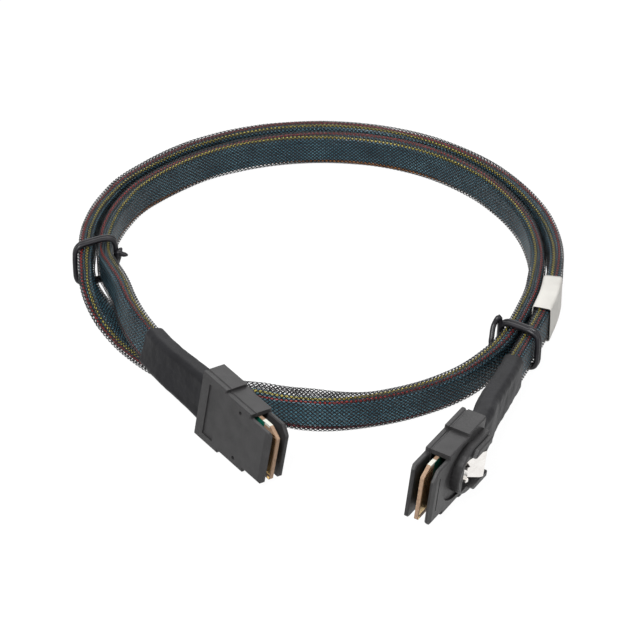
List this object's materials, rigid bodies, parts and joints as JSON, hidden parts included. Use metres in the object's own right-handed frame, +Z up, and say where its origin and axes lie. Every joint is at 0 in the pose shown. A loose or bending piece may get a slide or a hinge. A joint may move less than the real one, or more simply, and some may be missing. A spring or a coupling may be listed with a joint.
{
  "type": "internal mini sas cable",
  "caption": "Coiled flat ribbon data cable in a black braided sleeve, with a latching blade plug at each end, wire ties round the coil and a blank wrap label.",
  "frame": {"origin": "middle of the coiled part's overall box, on the surface it lies on", "axes": "+Z up from the surface, -Y towards the two plugs, +X to the right as in the picture"},
  "size_m": [0.1618, 0.2177, 0.0251],
  "materials": {
    "plug_plastic": "fine moulded grain, low sheen",
    "latch_steel": "bright stamped sheet",
    "card": "green circuit board",
    "strain_glue": "poured resin",
    "heat_shrink": "black, slightly glossy",
    "braid": "braided black filaments",
    "ribbon": "translucent teal film",
    "wire_yellow": "insulated wire",
    "wire_red": "insulated wire",
    "wire_orange": "insulated wire",
    "wire_crimson": "insulated wire",
    "tie": "plastic-coated tie wire",
    "label": "blank off-white wrap label"
  },
  "bodies": {
    "cable": {"braided_sleeve": "braid", "ribbon_1": "ribbon", "ribbon_2": "ribbon", "ribbon_3": "ribbon", "ribbon_4": "ribbon", "wire_yellow": "wire_yellow", "wire_red": "wire_red", "wire_orange": "wire_orange", "wire_crimson": "wire_crimson", "left_heat_shrink": "heat_shrink", "left_wire_tie": "tie", "right_heat_shrink": "heat_shrink", "right_wire_tie": "tie", "wrap_label": "label", "left_plug_cover": "plug_plastic", "left_latch_shell": "plug_plastic", "left_paddle_card": "card", "left_strain_block": "strain_glue", "right_plug_cover": "plug_plastic", "right_latch_shell": "plug_plastic", "right_paddle_card": "card", "right_strain_block": "strain_glue"},
    "left_latch": {"left_latch_spring": "latch_steel"},
    "right_latch": {"right_latch_spring": "latch_steel"}
  },
  "joints": [
    {"name": "left_latch_press", "type": "hinge", "parent": "cable", "child": "left_latch", "pos_m": [-0.01879, -0.06608, 0.01102], "axis": [0.1519, 0.0326, 0.9879], "range_deg": [0, 8], "stiffness_Nm_per_rad": 0.3},
    {"name": "right_latch_press", "type": "hinge", "parent": "cable", "child": "right_latch", "pos_m": [0.04224, -0.09484, 0.01303], "axis": [0.1104, 0.0389, 0.9931], "range_deg": [0, 8], "stiffness_Nm_per_rad": 0.3}
  ]
}
